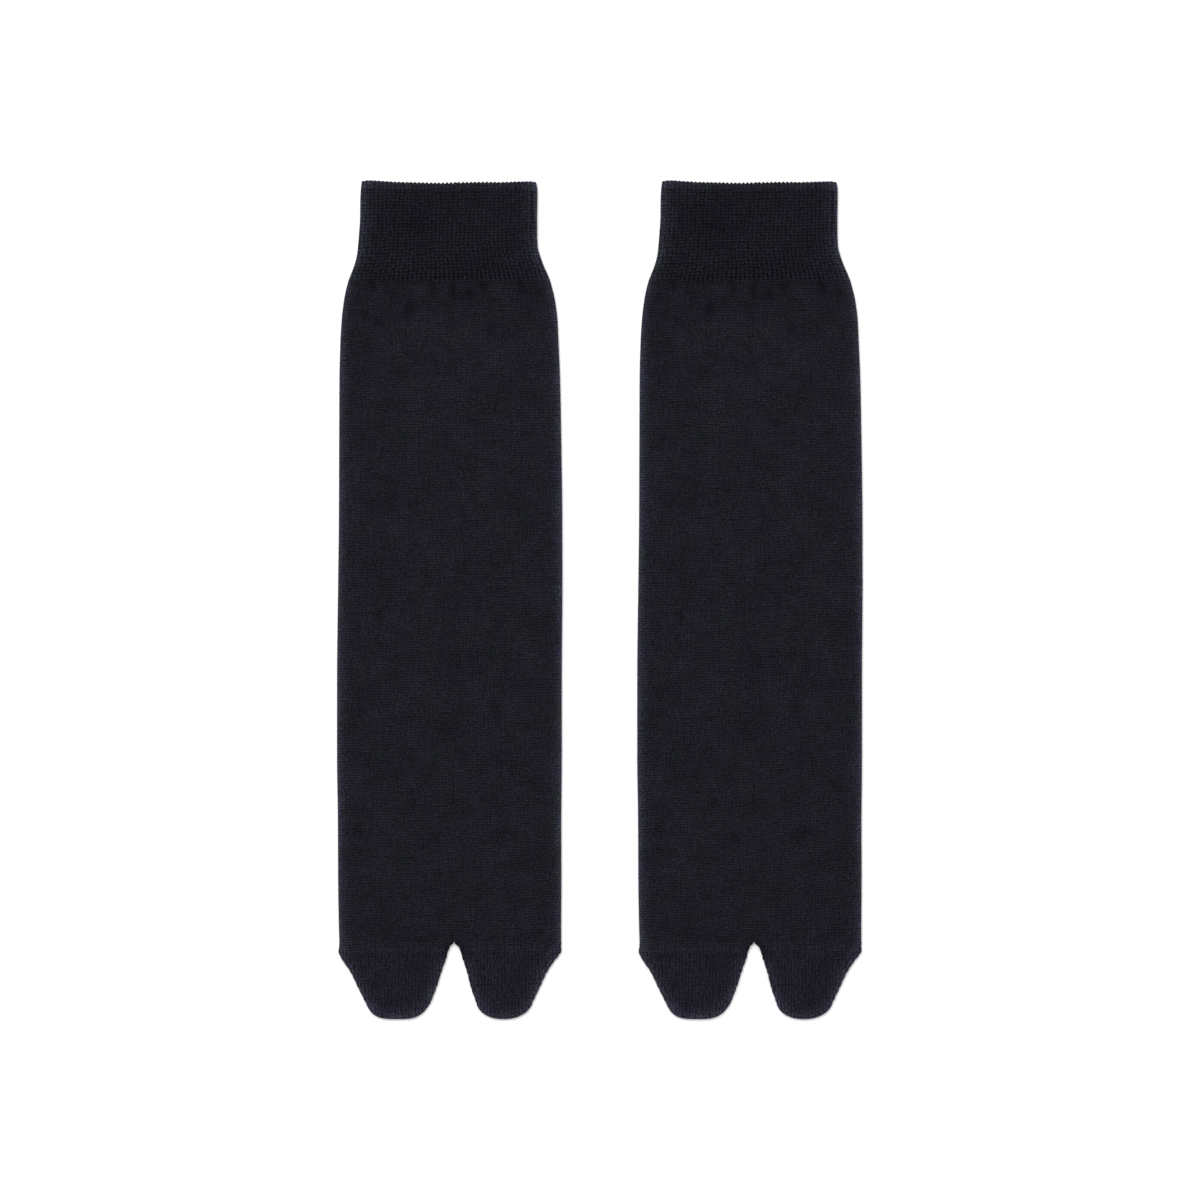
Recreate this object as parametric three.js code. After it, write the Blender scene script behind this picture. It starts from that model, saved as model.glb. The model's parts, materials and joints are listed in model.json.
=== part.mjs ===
// A pair of split-toe crew socks lying flat, side by side. Each sock is a ribbed cuff, one leg and
// foot tube, and two closed toe pockets with the split between them. Every piece is a hollow tube
// of knit, pressed flat so that its front panel lies just above its back panel.
// Millimetres, +Z up. The origin is on the surface under the middle of the pair. The cuffs point
// to +Y, the toes to -Y.
import * as THREE from "three";

// Driving dimensions.
const SOCK_LENGTH = 335; // cuff edge to toe tips
const SOCK_PITCH = 120; // between the two socks' centre lines
const CUFF_END = 39.5; // the cuff's last course, measured down from its edge
const TUBE_END = 303.8; // the tube's last course, where the toe pockets are linked on
const SEAM_GAP = 0.3; // clearance between joined pieces
const RIB_WALL = 1.5; // thickness of the ribbed knit
const PLAIN_WALL = 1.25; // thickness of the plain knit
const PANEL_GAP = 0.6; // air between the front panel and the back panel
const EDGE_DIP = 0.9; // how far the cuff's edge sags in its middle
const TIP_LENGTH = 6.7; // length of each toe pocket's rounded tip
const TIP_POWER = 2.2; // superellipse exponent of the tip's outline: 2 is an ellipse
const TIP_TAPER = 0.1; // how much more the tip narrows, as a share of its width

// Facets.
const FOLD_STEPS = 6; // round each folded side
const PANEL_STEPS = 4; // across each flat panel
const TIP_STEPS = [0.35, 0.65, 0.85, 0.95, 0.985]; // shares of the tip's length

// Outlines seen from above: the x of the left and right folds, from the sock's centre line, at a
// distance down from the cuff's edge.
const CUFF_OUTLINE = [
  { down: 0, left: -35.1, right: 35.0, dip: EDGE_DIP },
  { down: 7, left: -35.6, right: 35.4 },
  { down: 21, left: -36.1, right: 35.3 },
  { down: 28, left: -36.8, right: 35.9 },
  { down: 33, left: -37.8, right: 37.5 },
  { down: CUFF_END, left: -40.2, right: 40.3 },
];
const TUBE_OUTLINE = [
  { down: CUFF_END + SEAM_GAP, left: -40.3, right: 40.4 },
  { down: 44, left: -41.5, right: 41.6 },
  { down: 50, left: -42.5, right: 42.8 },
  { down: 60, left: -43.4, right: 43.6 },
  { down: 85, left: -44.0, right: 44.5 },
  { down: 130, left: -44.2, right: 45.2 },
  { down: 210, left: -45.0, right: 45.1 },
  { down: 265, left: -44.6, right: 44.9 },
  { down: 290, left: -44.4, right: 44.9 },
  { down: TUBE_END, left: -44.0, right: 44.8 },
];
const TOES_POCKET_OUTLINE = [
  { down: TUBE_END + SEAM_GAP, left: -44.0, right: 1.7 },
  { down: 304.9, left: -43.9, right: 1.6 },
  { down: 305.7, left: -43.9, right: 0.7 },
  { down: 308, left: -44.2, right: -0.5 },
  { down: 311.7, left: -42.6, right: -1.5 },
  { down: 316.1, left: -39.5, right: -3.0 },
  { down: 322, left: -36.7, right: -4.9 },
  { down: SOCK_LENGTH - TIP_LENGTH, left: -33.6, right: -7.6 },
];
const BIG_TOE_POCKET_OUTLINE = [
  { down: TUBE_END + SEAM_GAP, left: 2.0, right: 44.8 },
  { down: 304.9, left: 2.1, right: 44.8 },
  { down: 305.7, left: 3.2, right: 44.8 },
  { down: 308, left: 4.5, right: 44.7 },
  { down: 311.7, left: 5.6, right: 42.1 },
  { down: 316.1, left: 7.0, right: 39.2 },
  { down: 322, left: 8.5, right: 36.4 },
  { down: SOCK_LENGTH - TIP_LENGTH, left: 10.6, right: 33.4 },
];

// One section of a flattened tube, a ring of [x, y, z] points: up round the right fold, back along
// the front panel, down round the left fold and home along the back panel. half is half its height.
function sectionRing({ left, right, down, dip = 0 }, half, middleZ) {
  const centreX = (left + right) / 2;
  const halfWidth = (right - left) / 2;
  const reach = halfWidth - half; // from the centre to where a fold starts
  const ring = [];
  const add = (x, z) => {
    const sag = dip * (1 - (x / halfWidth) ** 2);
    ring.push([centreX + x, SOCK_LENGTH / 2 - down - sag, middleZ + z]);
  };
  for (const side of [1, -1]) {
    for (let i = 0; i <= FOLD_STEPS; i++) {
      const turn = Math.PI * (i / FOLD_STEPS - 0.5);
      add(side * (reach + half * Math.cos(turn)), side * half * Math.sin(turn));
    }
    for (let i = 1; i < PANEL_STEPS; i++) {
      add(side * reach * (1 - (2 * i) / PANEL_STEPS), side * half);
    }
  }
  return ring;
}

// Rings for one surface of a tube. inset is 0 for the outer surface and the wall for the inner one.
function tubeRings(outline, half, inset, middleZ) {
  return outline.map((row) =>
    sectionRing(
      { ...row, left: row.left + inset, right: row.right - inset },
      half,
      middleZ,
    ),
  );
}

// The rounded end of a toe pocket, which narrows as a superellipse and thins out like a fold.
function tipRings(base, half, inset, middleZ) {
  const length = TIP_LENGTH - inset;
  const centreX = (base.left + base.right) / 2;
  const baseHalfWidth = (base.right - base.left) / 2 - inset;
  return TIP_STEPS.map((share) => {
    const narrowing = (1 - share ** TIP_POWER) ** (1 / TIP_POWER);
    const halfWidth = baseHalfWidth * narrowing * (1 - TIP_TAPER * share);
    const toEnd = Math.min(length * (1 - share), half);
    const halfHere = Math.sqrt(half ** 2 - (half - toEnd) ** 2);
    const row = {
      down: base.down + length * share,
      left: centreX - halfWidth,
      right: centreX + halfWidth,
    };
    return sectionRing(row, halfHere, middleZ);
  });
}

// Closed body of knit between an outer and an inner row of rings, open at both ends or, where
// closedTip is true, only at the first.
function knitGeometry(outer, inner, closedTip) {
  const count = outer[0].length;
  const points = [...outer.flat(), ...inner.flat()];
  const innerStart = outer.length * count;
  const faces = [];
  const addSurface = (start, rows, facesOut) => {
    for (let row = 0; row < rows - 1; row++) {
      for (let i = 0; i < count; i++) {
        const a = start + row * count + i;
        const b = start + row * count + ((i + 1) % count);
        const [c, d] = [a + count, b + count];
        faces.push(...(facesOut ? [a, b, c, b, d, c] : [a, c, b, b, c, d]));
      }
    }
  };
  const addRim = (outerStart, innerRimStart, atTop) => {
    for (let i = 0; i < count; i++) {
      const next = (i + 1) % count;
      const [a, b] = [outerStart + i, outerStart + next];
      const [c, d] = [innerRimStart + i, innerRimStart + next];
      faces.push(...(atTop ? [a, c, b, b, c, d] : [a, b, c, b, d, c]));
    }
  };
  const addCap = (start, ring, facesOut) => {
    const middle = [0, 1, 2].map(
      (axis) => ring.reduce((sum, point) => sum + point[axis], 0) / count,
    );
    const centre = points.push(middle) - 1;
    for (let i = 0; i < count; i++) {
      const [a, b] = [start + i, start + ((i + 1) % count)];
      faces.push(...(facesOut ? [centre, a, b] : [centre, b, a]));
    }
  };
  const lastOuter = (outer.length - 1) * count;
  const lastInner = innerStart + (inner.length - 1) * count;
  addSurface(0, outer.length, true);
  addSurface(innerStart, inner.length, false);
  addRim(0, innerStart, true);
  if (closedTip) {
    addCap(lastOuter, outer.at(-1), true);
    addCap(lastInner, inner.at(-1), false);
  } else {
    addRim(lastOuter, lastInner, false);
  }
  const geometry = new THREE.BufferGeometry();
  geometry.setAttribute("position", new THREE.Float32BufferAttribute(points.flat(), 3));
  geometry.setIndex(faces);
  geometry.computeVertexNormals();
  return geometry;
}

// A flattened tube open at both ends, lying on z = 0.
function openTube(outline, wall) {
  const innerHalf = PANEL_GAP / 2;
  const outerHalf = wall + innerHalf;
  return knitGeometry(
    tubeRings(outline, outerHalf, 0, outerHalf),
    tubeRings(outline, innerHalf, wall, outerHalf),
    false,
  );
}

// A flattened tube that ends in a rounded, closed tip.
function toePocket(outline) {
  const innerHalf = PANEL_GAP / 2;
  const outerHalf = PLAIN_WALL + innerHalf;
  const base = outline.at(-1);
  const outer = [
    ...tubeRings(outline, outerHalf, 0, outerHalf),
    ...tipRings(base, outerHalf, 0, outerHalf),
  ];
  const inner = [
    ...tubeRings(outline, innerHalf, PLAIN_WALL, outerHalf),
    ...tipRings(base, innerHalf, PLAIN_WALL, outerHalf),
  ];
  return knitGeometry(outer, inner, true);
}

function knitMesh(name, geometry, colour) {
  const material = new THREE.MeshStandardMaterial({ color: colour, roughness: 0.95, metalness: 0 });
  const mesh = new THREE.Mesh(geometry, material);
  mesh.name = name;
  return mesh;
}

function sock(name, centreX) {
  const group = new THREE.Group();
  group.add(
    knitMesh(name + "_cuff", openTube(CUFF_OUTLINE, RIB_WALL), 0x1b1b21),
    knitMesh(name + "_leg_and_foot", openTube(TUBE_OUTLINE, PLAIN_WALL), 0x1d1e25),
    knitMesh(name + "_toes_pocket", toePocket(TOES_POCKET_OUTLINE), 0x1e1f26),
    knitMesh(name + "_big_toe_pocket", toePocket(BIG_TOE_POCKET_OUTLINE), 0x1e1f26),
  );
  group.position.x = centreX;
  return group;
}

const pair = new THREE.Group();
pair.add(sock("sock_a", -SOCK_PITCH / 2), sock("sock_b", SOCK_PITCH / 2));
export default pair;
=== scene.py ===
"""The looks of a pair of split-toe crew socks that lie flat, side by side.

Each sock is four thin knit shells: a ribbed cuff, a leg and foot tube, and two closed toe pockets.
A shell is a closed body with an outer surface, an inner surface and a rim at each mouth, pressed
flat so that its front panel lies on its back panel. Shapes are worked out in millimetres in the
sock's own plan: x from its centre line and down from its cuff's edge. They are placed by the
frame, in metres, +Z up.
"""

import json

import bpy
import numpy as np
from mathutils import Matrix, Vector


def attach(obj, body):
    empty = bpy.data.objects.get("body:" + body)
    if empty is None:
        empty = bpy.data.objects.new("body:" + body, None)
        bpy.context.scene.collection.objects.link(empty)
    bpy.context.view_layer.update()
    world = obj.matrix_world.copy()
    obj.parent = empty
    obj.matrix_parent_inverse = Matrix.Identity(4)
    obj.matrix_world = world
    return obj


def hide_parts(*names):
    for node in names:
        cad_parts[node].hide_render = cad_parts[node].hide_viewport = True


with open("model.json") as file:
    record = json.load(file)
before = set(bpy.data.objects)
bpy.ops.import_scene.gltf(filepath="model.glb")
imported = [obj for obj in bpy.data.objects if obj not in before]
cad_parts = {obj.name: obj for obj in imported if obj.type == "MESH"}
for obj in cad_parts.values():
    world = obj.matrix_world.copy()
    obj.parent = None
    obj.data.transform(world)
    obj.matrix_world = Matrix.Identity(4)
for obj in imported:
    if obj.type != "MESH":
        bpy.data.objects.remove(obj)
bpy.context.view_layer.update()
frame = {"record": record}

MM = 0.001

# Sizes of one sock, in millimetres down from the cuff's edge.
SOCK_LENGTH = 335.0
CUFF_JOIN = 39.65  # where the cuff's last course meets the plain knit
TOE_JOIN = 303.95  # where the toe pockets are linked on
TIP_LENGTH = 6.7  # the rounded end of each toe pocket
TIP_START = SOCK_LENGTH - TIP_LENGTH

# The cloth.
RIB_WALL = 1.5
PLAIN_WALL = 1.25
PANEL_GAP = 0.6  # air between the two panels
RIB_END = 31.0  # from here the ribbed wall thins out to the plain one
FOLD_REACH = 3.2  # how far in from a fold the cloth is still rounded
CROTCH_REACH = 1.35  # the same at the top of the toe split
LEAST_LIFT = 0.01  # how far a panel stands off the middle right beside a fold
LEAST_WIDTH = 0.05  # of a ring
LEAST_REACH = 0.1  # of a fold's rounding
PANEL_SAG = 0.22  # how far the front panel sinks between its folds
BACK_SHARE = 0.4  # the share of its dips that the back panel shows
# How far in from a fold the cloth goes from held to free: (start, end).
SAG_FREEDOM = (2.5, 14)
DIP_FREEDOM = (0.5, 5)

# The knit.
RIBS = 88  # round the cuff
WALES = 132  # columns of stitches round the tube
RIB_COURSE = 1.25  # height of one row of stitches in the cuff
PLAIN_COURSE = 1.06
RIB_DEPTH = 0.22
WALE_DEPTH = 0.09

# Mesh columns round each shell.
TUBE_COLUMNS = 528  # six for each rib, four for each wale
POCKET_COLUMNS = 360
# Mesh rows down each shell, in stretches: (where it ends, its count of rows).
CUFF_ROWS = [(4.2, 9), (33, 30), (CUFF_JOIN, 14)]
CUFF_INNER_ROWS = [(6, 3), (30, 4), (CUFF_JOIN, 3)]
LEG_ROWS = [(52, 12), (70, 12), (296, 132), (TOE_JOIN, 5)]
LEG_INNER_ROWS = [(60, 2), (290, 4), (TOE_JOIN, 1)]
POCKET_ROWS = [(309, 15), (TIP_START, 50)]
POCKET_INNER_ROWS = [(309, 3), (TIP_START, 8)]
TIP_ROWS = 24

# Outlines seen from above: (down, x of the left fold, x of the right fold).
TUBE_OUTLINE = [
    (0, -35.1, 35),
    (3, -35.4, 35.4),
    (7, -35.65, 35.4),
    (15, -35.75, 35.3),
    (21, -36.15, 35.3),
    (26, -36.55, 35.5),
    (29.7, -37, 36.4),
    (33.7, -38.05, 37.85),
    (38.5, -39.9, 39.95),
    (43.7, -41.4, 41.5),
    (48, -42.2, 42.45),
    (55.7, -43.1, 43.4),
    (64, -43.6, 43.8),
    (80, -44, 44.45),
    (104, -44.1, 44.9),
    (135, -44.2, 45.3),
    (160, -44.5, 45.35),
    (200, -44.95, 45.1),
    (230, -44.95, 45.1),
    (256, -44.6, 44.9),
    (280, -44.5, 44.95),
    (296, -44.25, 44.85),
    (TOE_JOIN, -44, 44.85),
]
TOES_OUTLINE = [
    (TOE_JOIN, -44, 1.84),
    (304.6, -43.9, 1.7),
    (304.95, -43.9, 1.2),
    (305.5, -43.95, 0.7),
    (306.4, -44.1, 0.2),
    (308, -44.25, -0.5),
    (309.3, -43.95, -0.75),
    (310.4, -43.35, -1),
    (311.7, -42.6, -1.5),
    (316.1, -39.55, -3.05),
    (322.1, -36.65, -4.95),
    (TIP_START, -33.55, -7.35),
]
BIG_TOE_OUTLINE = [
    (TOE_JOIN, 1.88, 44.85),
    (304.6, 2.05, 44.8),
    (304.9, 2.4, 44.8),
    (305.5, 3.1, 44.8),
    (305.9, 3.55, 44.8),
    (306.6, 3.95, 44.8),
    (308, 4.5, 44.8),
    (309.3, 4.9, 44),
    (311.7, 5.6, 42.1),
    (316.1, 7.05, 39.2),
    (322.1, 8.55, 36.35),
    (TIP_START, 10.7, 33.4),
]
# The left and the right half of a tip: a superellipse's exponent, and how much more the half narrows,
# as a share of its width.
TOES_TIP = ((3.7, 0.24), (3.5, 0.32))
BIG_TOE_TIP = ((2.4, 0.14), (2.2, 0.16))
# How far the cuff's edge sags: (share of the half width, sag).
EDGE_SAG = [
    (-1, 0),
    (-0.86, 0.07),
    (-0.76, 0.3),
    (-0.5, 0.68),
    (-0.3, 0.76),
    (-0.13, 0.9),
    (0, 0.75),
    (0.2, 0.6),
    (0.42, 0.57),
    (0.56, 0.7),
    (0.8, 0.5),
    (1, 0.4),
]
JOIN_SLOPE = 0.03
# The slope of the courses, which rise to the right: (down, slope).
COURSE_SLOPE = [
    (0, 0),
    (CUFF_JOIN, JOIN_SLOPE),
    (120, 0.034),
    (230, 0.04),
    (270, 0.05),
    (SOCK_LENGTH, 0.02),
]

# Soft dips in the cloth, in millimetres: x and down of the middle, half length along the sock, half
# width across it, lean (x for each millimetre down) and depth. A swelling has a negative depth. The
# depth also sets painted shade in the dips and painted light on the swellings.
FRONT_DIPS = [
    # the cuff
    (-6, 18, 11, 17, 0, 0.07),
    (33.3, 12, 9, 0.5, 0, 0.8),
    # gathers where the cuff draws the plain knit in
    (-36.6, 47, 3.4, 1.3, -0.2, 0.3),
    (-30.6, 41.4, 2.6, 1.3, -0.1, 0.38),
    (-27, 44.4, 2.6, 1.5, 0, -0.24),
    (-22.6, 46.4, 2.6, 1.9, 0.1, 0.33),
    (-11.5, 43.2, 2.6, 1.6, 0, -0.27),
    (-6.6, 42.4, 3, 1.2, 0.05, 0.42),
    (1.9, 44.8, 4.4, 1.3, 0.05, 0.57),
    (8.3, 45.4, 3.4, 1.4, 0.1, 0.45),
    (13.1, 42.2, 2.4, 1.2, 0.15, 0.48),
    (18.4, 42.4, 2.2, 1.5, 0, -0.27),
    (22.8, 43.4, 2.4, 1.1, 0.1, 0.27),
    (29.1, 42, 3, 1.5, 0.45, 0.45),
    (36.2, 44.8, 3, 1.3, 0.3, 0.24),
    (-33.3, 53.6, 2.2, 1.8, 0.4, 0.33),
    (-28, 57, 3.6, 1.3, 1, 0.3),
    (-16, 51.4, 2.8, 2.2, -0.1, 0.63),
    (3.6, 52.4, 2.6, 2, 0, -0.21),
    (16.6, 59.2, 2.6, 2.4, 0, 0.33),
    # the leg
    (-31.7, 67.8, 3, 2, 0.1, 0.22),
    (-16.8, 77.2, 2, 4.2, 0, 0.18),
    (18.7, 90.2, 4, 1.8, -0.1, 0.18),
    (-0.9, 102.4, 4, 3, 0.1, 0.15),
    (-31, 115.6, 3.5, 2.2, 0.3, 0.22),
    (-24.2, 119.8, 2, 3.6, 0, 0.22),
    (10.3, 126.6, 3.4, 1.8, 0, 0.18),
    (24.3, 124.7, 2.2, 3, 0, 0.18),
    (-32.6, 129, 3, 1.8, 0.1, 0.18),
    (-9, 141, 4.5, 3, 0.15, -0.12),
    (5.6, 153.7, 2.2, 3.6, 0, 0.2),
    (-32.6, 153, 3.2, 2.4, 0, 0.15),
    (12.1, 171.4, 3.6, 1.9, 0.05, 0.22),
    (-28, 174.2, 2.6, 2, 0, 0.22),
    (19.6, 177.5, 3, 2.2, 0, 0.14),
    (-20.5, 188.5, 2.6, 5, 0, 0.13),
    (11, 193.6, 3.6, 1.4, 0, 0.18),
    (23, 195, 3.2, 2.2, 0.2, 0.2),
    (18.7, 211.6, 2.2, 1.6, 0.3, 0.24),
    (-17.7, 225.5, 2.2, 1.4, 0, 0.18),
    # the foot
    (-33.6, 232.6, 2, 4.4, 0, 0.24),
    (-14.9, 247, 3.4, 1.3, 0.05, 0.26),
    (21.5, 261, 2.2, 4.2, 0, 0.24),
    (-5.6, 263.8, 3.4, 1.6, -0.2, 0.22),
    (0.9, 278.7, 2.4, 1.4, 0.2, 0.16),
    (28, 286.6, 2.6, 2.8, 0.1, 0.22),
    (-11.2, 290.9, 2.6, 1.8, 0, 0.14),
    (25.8, 296.4, 2, 3, 0, -0.1),
    # the toes
    (-18, 302.2, 3.2, 9.5, 0, 0.12),
    (29.5, 302.6, 3, 9.5, 0, 0.12),
    (1.8, 303, 1.5, 1.3, 0, 0.35),
    (14.6, 317.5, 5, 2.6, 0.1, 0.08),
    (-30.4, 316.3, 3, 3, 0, -0.1),
    (40, 309, 3.4, 2.2, -0.2, -0.14),
    (-30, 331, 3.6, 3.2, 0.3, -0.3),
    (-12.5, 331.4, 3, 2.6, -0.3, -0.16),
    (13.6, 331.4, 3.2, 2.6, 0.3, -0.24),
    (29.6, 331.2, 3, 2.8, -0.3, -0.24),
]
BACK_DIPS = [
    (4, 16, 10, 16, 0, 0.06),
    (-31, 43, 3.2, 1.5, -0.2, 0.25),
    (-24.5, 43, 3, 1.2, -0.1, 0.2),
    (-19, 45.5, 4, 1.5, -0.1, 0.32),
    (-11.5, 43, 2.6, 1.1, 0, 0.24),
    (-6, 44.5, 3.6, 1.4, 0.05, 0.35),
    (0.5, 43, 2.5, 1.1, 0, 0.22),
    (8, 46.5, 4.5, 1.6, 0.08, 0.38),
    (15, 43, 3, 1.2, 0.1, 0.26),
    (20.5, 44.5, 3.5, 1.2, 0.1, 0.3),
    (29, 44, 3.5, 1.5, 0.22, 0.28),
    (24, 55, 2.6, 2.2, 0.2, 0.24),
    (-9, 68, 2.4, 3.4, 0, 0.18),
    (30, 86, 3.4, 2, 0.1, 0.2),
    (-27, 109, 3.2, 2.2, 0.2, 0.2),
    (12, 133, 2.4, 3.6, 0, 0.18),
    (-14, 162, 3.6, 1.8, -0.1, 0.22),
    (27, 187, 2.6, 3, 0, 0.2),
    (-30, 214, 2.4, 2.2, 0.1, 0.18),
    (6, 238, 3.4, 1.5, 0.05, 0.24),
    (-21, 268, 2.4, 3.8, 0, 0.22),
    (17, 289, 3, 2.2, 0.1, 0.18),
    (22, 302.4, 3, 9, 0, 0.16),
    (1.8, 303, 1.5, 1.3, 0, 0.4),
]
# Long soft waves, in the same columns. They don't change the tone.
FRONT_WAVES = [
    (-21, 84, 34, 9, 0.1, 0.14),
    (14, 112, 46, 11, -0.06, 0.12),
    (-8, 158, 40, 12, 0.05, -0.12),
    (26, 176, 52, 8, 0.03, 0.13),
    (-27, 205, 48, 9, -0.03, 0.12),
    (5, 236, 38, 12, -0.08, 0.14),
    (-15, 278, 20, 9, 0.06, -0.12),
    (24, 280, 20, 9, -0.05, 0.12),
]
BACK_WAVES = [
    (18, 96, 36, 10, 0.08, 0.14),
    (-19, 140, 44, 10, -0.05, 0.12),
    (9, 205, 50, 12, 0.04, 0.13),
    (-12, 262, 26, 10, 0.06, 0.12),
]
# Stitches at the outer corners of the toe pockets, in the same columns. The proud ones also get
# painted highlights and the sunken ones painted shade.
TOES_EAR = [
    (-41.9, 306.2, 0.3, 0.9, 0, -0.16),
    (-41.4, 308.6, 1.4, 2.4, 0, -0.09),
    (-40, 308.4, 0.5, 0.5, 0, -0.24),
    (-42.6, 308.3, 0.3, 0.7, 0, 0.1),
    (-41.5, 309.8, 0.3, 0.8, 0, -0.16),
    (-39.2, 313.4, 0.6, 0.5, 0, -0.14),
]
BIG_TOE_EAR = [
    (41.6, 308, 1.6, 2.2, 0, -0.03),
    (42.9, 305, 0.6, 0.4, 1.2, -0.14),
    (41.6, 306, 0.6, 0.45, 0.8, -0.15),
    (40.7, 307.4, 0.6, 0.5, -0.6, -0.18),
    (43, 308.4, 0.5, 0.5, 0, 0.1),
    (39.5, 309.4, 0.6, 0.45, 0.5, -0.24),
    (38.4, 311.4, 0.6, 0.5, 0, 0.1),
    (40.1, 311.8, 0.3, 0.9, 0, -0.16),
]

# How the cloth's tone follows its shape: painted shade where it dips and painted light where it
# swells.
DIP_SHADE_AND_LIGHT = 0.9  # how much darker it is for each millimetre that it dips
# Partly fuzz and partly painted sheen: how much lighter the colour is at its outline, where loose
# fibres catch the light on the rounded folds: (gain, reach). It fades as falloff() says, and on the
# toes as hump() does.
CUFF_FUZZ_AND_SHEEN = (3.4, 2.1)
CUFF_EDGE_FUZZ_AND_SHEEN = (0.8, 1.6)
LEG_FUZZ_AND_SHEEN = (3.3, 1.4)
TOE_FUZZ_AND_SHEEN = (1.45, 2.9)


def smooth_through(table, at):
    """A smooth curve through a table of (stop, value) that never overshoots it."""
    stops, values = np.array(table, float).T
    steps = np.diff(stops)
    slopes = np.diff(values) / steps
    product = slopes[:-1] * slopes[1:]
    total = slopes[:-1] + slopes[1:]
    inner = np.where(product > 0, 2 * product / np.where(total == 0, 1, total), 0)
    tangents = np.concatenate([slopes[:1], inner, slopes[-1:]])
    index = np.clip(np.searchsorted(stops, at, side="right") - 1, 0, len(steps) - 1)
    step = steps[index]
    t = (at - stops[index]) / step
    ends = values[index] * (1 + 2 * t) * (1 - t) ** 2 + values[index + 1] * t**2 * (3 - 2 * t)
    bends = tangents[index] * t * (1 - t) ** 2 - tangents[index + 1] * t**2 * (1 - t)
    return ends + step * bends


def ramp(value, start, end):
    """0 before start, 1 after end and smooth between them. start may be the larger one."""
    t = np.clip((value - start) / (end - start), 0, 1)
    return t * t * (3 - 2 * t)


def hump(value, middle, half):
    """1 at the middle, falling off smoothly on both sides."""
    return np.exp(-(((value - middle) / half) ** 2))


def blend(start, end, share):
    """start where the share is 0 and end where it is 1."""
    return start + (end - start) * share


def folds_at(outline, down):
    """The x of the left and the right fold at each distance down."""
    stops, *folds = np.array(outline).T
    return [smooth_through(np.column_stack([stops, fold]), down) for fold in folds]


def fold_height(share):
    """The height of a rounded fold, from 0 at the fold to 1 where share reaches 1."""
    return np.sqrt(1 - (1 - np.clip(share, 0, 1)) ** 2)


def fold_profile(reach, half, steps=24):
    """The run along the cloth and the distance in from the fold, over a quarter ellipse."""
    turn = np.linspace(0, np.pi / 2, steps + 1)
    inward = reach * (1 - np.cos(turn))
    up = half * np.sin(turn)
    run = np.concatenate([[0], np.cumsum(np.hypot(np.diff(inward), np.diff(up)))])
    return run, inward


def panel_stations(width, reach, half, count):
    """Distances in from the left fold of count + 1 points, evenly spaced along the cloth."""
    run, inward = fold_profile(min(reach, width / 2), half)
    flat = width - 2 * inward[-1]
    full_run = np.concatenate([run, 2 * run[-1] + flat - run[::-1]])
    full_inward = np.concatenate([inward, width - inward[::-1]])
    return np.interp(np.linspace(0, full_run[-1], count + 1), full_run, full_inward)


def spaced(start, stretches):
    """Distances down from start, for stretches of (end, count of rows)."""
    rows = [np.array([start])]
    for end, count in stretches:
        rows.append(np.linspace(rows[-1][-1], end, count + 1)[1:])
    return np.concatenate(rows)


def spots(table, x, down):
    """The summed depth of a table's dips at points of the plan."""
    depth = np.zeros(np.broadcast(x, down).shape)
    for middle, at, half_length, half_width, lean, deep in table:
        along = (down - at) / half_length
        across = (x - middle - lean * (down - at)) / half_width
        depth += deep * np.exp(-(along**2) - across**2)
    return depth


def dips(points):
    """How deep the cloth dips at each point of its rings, whose front half comes first."""
    x, down = points[..., 0], points[..., 1]
    columns = points.shape[1]
    front = np.arange(columns) <= columns // 2
    return np.where(front, spots(FRONT_DIPS, x, down), spots(BACK_DIPS, x, down))


def falloff(distance, setting):
    """The strength at a distance from an edge of what has a (gain, reach) there."""
    gain, reach = setting
    return gain * np.exp(-np.maximum(distance, 0) / reach)


def gap_to(line, x, down):
    """The distance from points of the plan to a line of (x, down) points."""
    x, down = np.broadcast_arrays(x, down)
    point = np.stack([x.ravel(), down.ravel()], axis=1)[:, None]
    start, step = line[:-1], np.diff(line, axis=0)
    share = ((point - start) * step).sum(axis=2) / (step**2).sum(axis=1)
    nearest = start + np.clip(share, 0, 1)[:, :, None] * step
    return np.linalg.norm(point - nearest, axis=2).min(axis=1).reshape(x.shape)


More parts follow.
